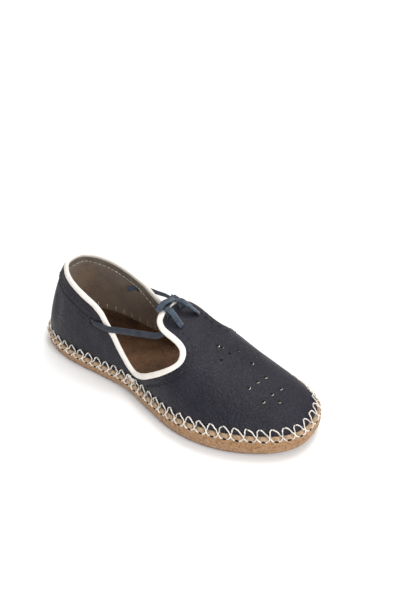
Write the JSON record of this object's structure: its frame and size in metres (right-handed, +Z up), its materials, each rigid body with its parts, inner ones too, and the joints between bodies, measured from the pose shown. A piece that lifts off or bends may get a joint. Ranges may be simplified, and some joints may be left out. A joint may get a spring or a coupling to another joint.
{
  "type": "turkish yemeni shoe",
  "caption": "soft flat leather slip-on shoe, turned-up sole edge sewn to a navy upper, white bound side-notched collar, short tab and flat lace",
  "frame": {"origin": "middle of the footprint's bounding rectangle, on the floor", "axes": "+X towards the toe, +Y towards the shoe's left side, +Z up"},
  "size_m": [0.2578, 0.0952, 0.0787],
  "materials": {
    "sole": "rough natural tan",
    "insole": "smooth brown",
    "upper": "matt fine grain, navy",
    "binding": "smooth off-white",
    "lace": "suede, dark blue"
  },
  "bodies": {
    "root": {"outsole": "sole", "insole": "insole", "upper": "upper", "collar_binding": "binding", "lace_bar_right": "lace", "lace_bar_left": "lace", "lace_knot": "lace", "lace_end_right": "lace", "lace_end_left": "lace"}
  },
  "joints": []
}
